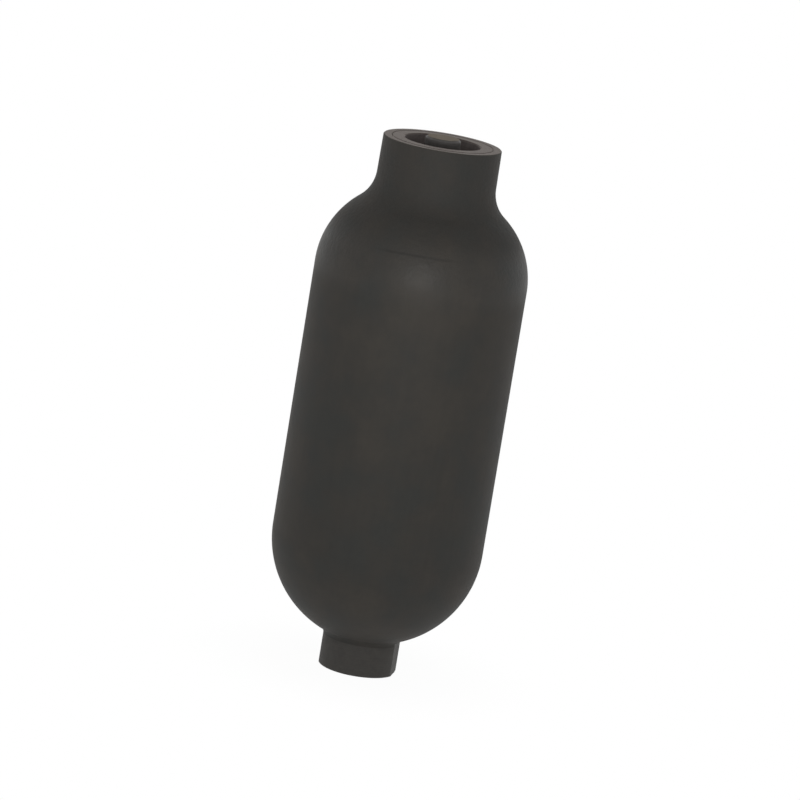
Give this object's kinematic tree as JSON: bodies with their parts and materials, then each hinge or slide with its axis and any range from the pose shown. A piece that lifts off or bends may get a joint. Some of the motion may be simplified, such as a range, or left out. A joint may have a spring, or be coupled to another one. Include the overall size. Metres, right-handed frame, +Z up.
{
  "type": "hydraulic accumulator",
  "caption": "Top-repairable bladder accumulator: spun steel shell, threaded fluid port with a sprung poppet, and a gas valve under a cap in the wide neck.",
  "frame": {"origin": "centre of the port neck's flat bottom face", "axes": "+Z up the shell's axis, from the fluid port to the gas neck; the port neck's wrench flats face +X and -X"},
  "size_m": [0.1684, 0.1684, 0.4325],
  "materials": {
    "phosphated_shell": "matte",
    "blackened_steel": "satin",
    "machined_steel": "satin",
    "plated_steel": "satin",
    "valve_brass": "satin",
    "spring_steel": "satin",
    "nitrile_rubber": "matte",
    "white_ptfe": "satin",
    "bearing_bronze": "satin"
  },
  "bodies": {
    "vessel": {"shell": "phosphated_shell", "lock_ring": "blackened_steel", "closure_plug": "blackened_steel", "bladder_stem": "machined_steel", "poppet_guide": "machined_steel", "stem_nut": "plated_steel", "stem_washer": "plated_steel", "gas_valve_body": "plated_steel", "valve_core": "valve_brass", "valve_seal_cap": "valve_brass", "poppet_spring": "spring_steel", "core_spring": "spring_steel", "guide_snap_ring": "spring_steel", "bladder": "nitrile_rubber", "closure_seal": "nitrile_rubber", "stem_seal": "nitrile_rubber", "valve_seal": "nitrile_rubber", "seal_cap_gasket": "nitrile_rubber", "protective_cap_seal": "nitrile_rubber", "closure_backup_ring": "white_ptfe", "guide_bush": "bearing_bronze"},
    "poppet_valve": {"poppet": "machined_steel", "stop_nut": "plated_steel"},
    "core_pin": {"core_pin": "valve_brass", "core_pin_seal": "nitrile_rubber"},
    "cap": {"protective_cap": "blackened_steel"}
  },
  "joints": [
    {"name": "poppet_slide", "type": "slide", "parent": "vessel", "child": "poppet_valve", "axis": [0, 0, 1], "range_m": [-0.008, 0], "stiffness_N_per_m": 1500, "springref_m": 0.006, "deforming": ["poppet_spring"]},
    {"name": "core_pin_slide", "type": "slide", "parent": "vessel", "child": "core_pin", "axis": [0, 0, 1], "range_m": [-0.0012, 0], "stiffness_N_per_m": 2500, "springref_m": 0.002, "deforming": ["core_spring"]},
    {"name": "cap_lift", "type": "slide", "parent": "vessel", "child": "cap", "axis": [0, 0, 1], "range_m": [0, 0.03]}
  ]
}
